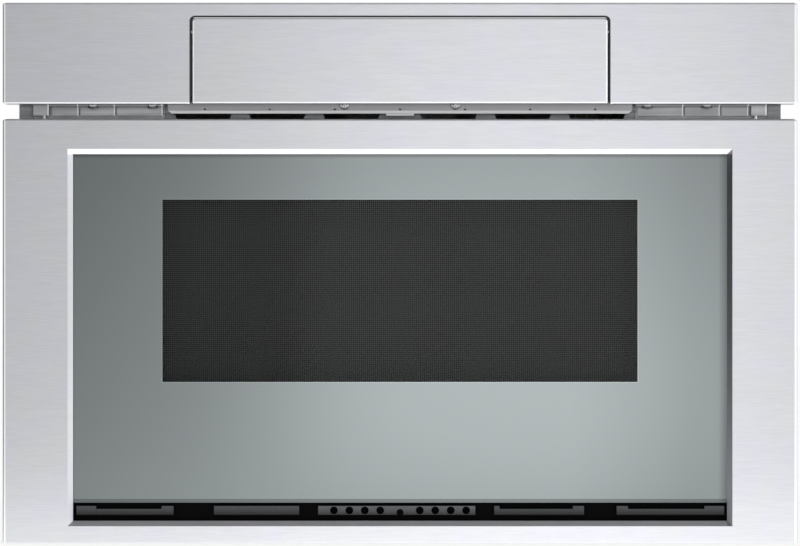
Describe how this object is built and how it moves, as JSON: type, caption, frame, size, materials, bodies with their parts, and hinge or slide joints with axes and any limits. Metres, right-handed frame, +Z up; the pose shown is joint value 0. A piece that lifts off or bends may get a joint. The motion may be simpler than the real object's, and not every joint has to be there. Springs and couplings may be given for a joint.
{
  "type": "microwave drawer",
  "caption": "Built-in microwave drawer: sliding drawer with mirrored glass window under a tilt-out control flap, stainless front, sheet-metal case.",
  "frame": {"origin": "middle of the width, on the plane of the cabinet's front, at the height of the shelf that carries the case", "axes": "+X right seen from the front, +Y into the cabinet, +Z up"},
  "size_m": [0.6064, 0.594, 0.4134],
  "materials": {
    "brushed_stainless": "horizontal brush",
    "bright_sheet": "smooth",
    "galvanised_sheet": "satin",
    "zinc_rail": "bright zinc",
    "cavity_paint": "semi-gloss",
    "mirror_glass": "tinted mirror",
    "black_screen": "matt perforated",
    "black_plastic": "matt",
    "touch_panel": "gloss",
    "ceramic": "satin",
    "white_nylon": "satin",
    "circuit_board": "satin",
    "motor_steel": "satin",
    "core_steel": "varnished",
    "cast_aluminium": "satin",
    "mica": "matt"
  },
  "bodies": {
    "case": {"base_pan": "galvanised_sheet", "top_cover": "galvanised_sheet", "left_side_panel": "galvanised_sheet", "right_side_panel": "galvanised_sheet", "rear_panel": "galvanised_sheet", "front_frame": "bright_sheet", "cord_gland": "black_plastic", "panel_screws": "bright_sheet", "fascia": "brushed_stainless", "fascia_brackets": "bright_sheet", "vent_ledge": "bright_sheet", "flap_pocket": "galvanised_sheet", "touch_latch": "black_plastic", "rotary_damper": "black_plastic", "cavity_floor": "cavity_paint", "cavity_ceiling": "cavity_paint", "cavity_side_walls": "cavity_paint", "cavity_back_wall": "cavity_paint", "cavity_supports": "galvanised_sheet", "outer_rails": "zinc_rail", "interlock_switches": "black_plastic", "shaft_bearings": "white_nylon", "drive_motor": "motor_steel", "stirrer_housing": "galvanised_sheet", "stirrer_cover": "mica", "stirrer_motor": "motor_steel", "waveguide": "galvanised_sheet", "magnetron": "cast_aluminium", "hv_transformer": "core_steel", "hv_capacitor": "cast_aluminium", "fan_housing": "black_plastic", "fan_motor": "motor_steel", "control_board": "circuit_board", "oven_lamp": "white_nylon"},
    "drawer": {"drawer_front": "brushed_stainless", "door_glass": "mirror_glass", "window_screen": "black_screen", "door_backplate": "galvanised_sheet", "choke_frame": "galvanised_sheet", "choke_cover": "black_plastic", "vent_baffle": "black_plastic", "drawer_tub": "cavity_paint", "ceramic_tray": "ceramic", "tub_glides": "white_nylon", "carriage_arms": "galvanised_sheet", "inner_rails": "zinc_rail", "drive_racks": "white_nylon", "latch_hooks": "zinc_rail"},
    "middle_slides": {"middle_rails": "zinc_rail"},
    "cross_shaft": {"drive_shaft": "zinc_rail", "drive_gears": "white_nylon"},
    "motor_output": {"motor_gear": "white_nylon"},
    "control_flap": {"flap_skin": "brushed_stainless", "flap_housing": "black_plastic", "touch_glass": "touch_panel", "display_board": "circuit_board", "flap_pins": "zinc_rail"},
    "damper_gear": {"damper_pinion": "white_nylon"},
    "stirrer_fan": {"stirrer": "cast_aluminium"},
    "cooling_fan": {"fan_wheel": "cast_aluminium"}
  },
  "joints": [
    {"name": "drawer_slide", "type": "slide", "parent": "case", "child": "drawer", "axis": [0, -1, 0], "range_m": [0, 0.381]},
    {"name": "middle_rail_slide", "type": "slide", "parent": "case", "child": "middle_slides", "axis": [0, -1, 0], "range_m": [0, 0.1906]},
    {"name": "cross_shaft_turn", "type": "hinge", "parent": "case", "child": "cross_shaft", "pos_m": [0, 0.032, 0.018], "axis": [1, 0, 0], "range_deg": [0, 1617.5]},
    {"name": "motor_gear_turn", "type": "hinge", "parent": "case", "child": "motor_output", "pos_m": [0, 0.053, 0.018], "axis": [1, 0, 0], "range_deg": [-3234.5, 0]},
    {"name": "flap_tilt", "type": "hinge", "parent": "case", "child": "control_flap", "pos_m": [0, -0.027, 0.32], "axis": [1, 0, 0], "range_deg": [0, 45]},
    {"name": "damper_turn", "type": "hinge", "parent": "case", "child": "damper_gear", "pos_m": [0, -0.01127, 0.35894], "axis": [1, 0, 0], "range_deg": [-270, 0]},
    {"name": "stirrer_spin", "type": "hinge", "parent": "case", "child": "stirrer_fan", "pos_m": [0, 0.22, 0.2895], "axis": [0, 0, 1], "continuous": true},
    {"name": "fan_spin", "type": "hinge", "parent": "case", "child": "cooling_fan", "pos_m": [-0.14, 0.525, 0.2], "axis": [0, 1, 0], "continuous": true}
  ],
  "couplings": [
    {"joint": "middle_rail_slide", "follows": "drawer_slide", "ratio": 0.5},
    {"joint": "cross_shaft_turn", "follows": "drawer_slide", "rad_per_m": 74.074},
    {"joint": "motor_gear_turn", "follows": "drawer_slide", "rad_per_m": -148.15},
    {"joint": "damper_turn", "follows": "flap_tilt", "ratio": -6}
  ]
}
